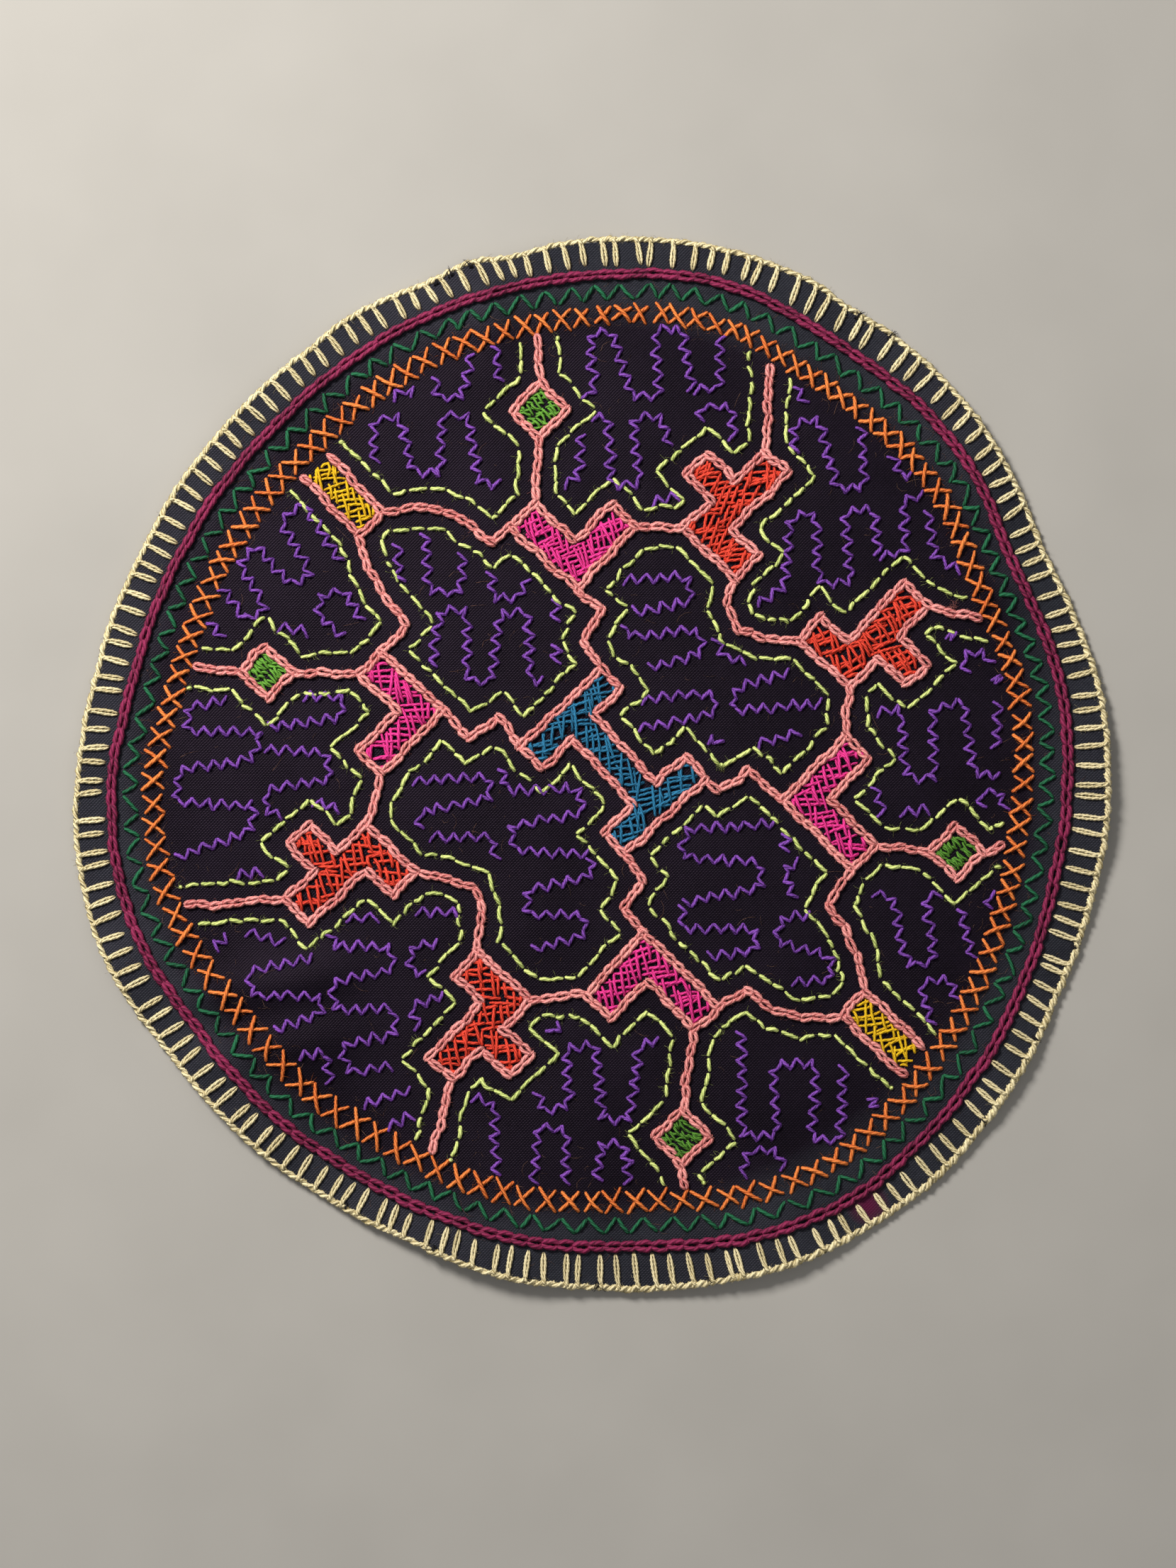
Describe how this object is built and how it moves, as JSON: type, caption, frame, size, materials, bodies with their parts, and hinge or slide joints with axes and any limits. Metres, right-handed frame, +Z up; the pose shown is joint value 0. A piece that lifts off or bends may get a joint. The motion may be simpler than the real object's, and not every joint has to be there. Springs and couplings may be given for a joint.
{
  "type": "circular embroidered cloth tapestry",
  "caption": "Round black cotton cloth lying flat, with a blanket-stitched edge, ringed stitch borders and a symmetric maze of chain-stitched lines around filled colour blocks.",
  "frame": {"origin": "middle of the round outline, on the cloth's underside, where it lies on the surface", "axes": "+Z up out of the embroidered face, +Y towards the top of the pattern as pictured, +X to the right"},
  "size_m": [0.295, 0.301, 0.0075],
  "materials": {
    "cotton_twill": "matt black cotton twill",
    "pale_yellow_yarn": "soft pale yellow yarn",
    "burgundy_yarn": "burgundy cotton yarn",
    "dark_green_yarn": "dark green cotton yarn",
    "orange_yarn": "orange yarn",
    "pink_yarn": "fuzzy salmon pink yarn",
    "lime_yarn": "fuzzy lime green yarn",
    "purple_yarn": "purple cotton yarn",
    "blue_yarn": "blue cotton yarn",
    "magenta_yarn": "magenta yarn",
    "red_yarn": "warm red yarn",
    "green_yarn": "leaf green yarn",
    "yellow_yarn": "golden yellow yarn"
  },
  "bodies": {
    "root": {"cloth": "cotton_twill", "edge_stitch": "pale_yellow_yarn", "chain_ring": "burgundy_yarn", "zigzag_ring": "dark_green_yarn", "cross_row_lower": "orange_yarn", "cross_row_upper": "orange_yarn", "maze_line": "pink_yarn", "block_blue": "blue_yarn", "block_magenta_1": "magenta_yarn", "block_magenta_2": "magenta_yarn", "block_magenta_3": "magenta_yarn", "block_magenta_4": "magenta_yarn", "block_red_1": "red_yarn", "block_red_2": "red_yarn", "block_red_3": "red_yarn", "block_red_4": "red_yarn", "block_green_1": "green_yarn", "block_green_2": "green_yarn", "block_green_3": "green_yarn", "block_green_4": "green_yarn", "block_yellow_1": "yellow_yarn", "block_yellow_2": "yellow_yarn"}
  },
  "joints": []
}
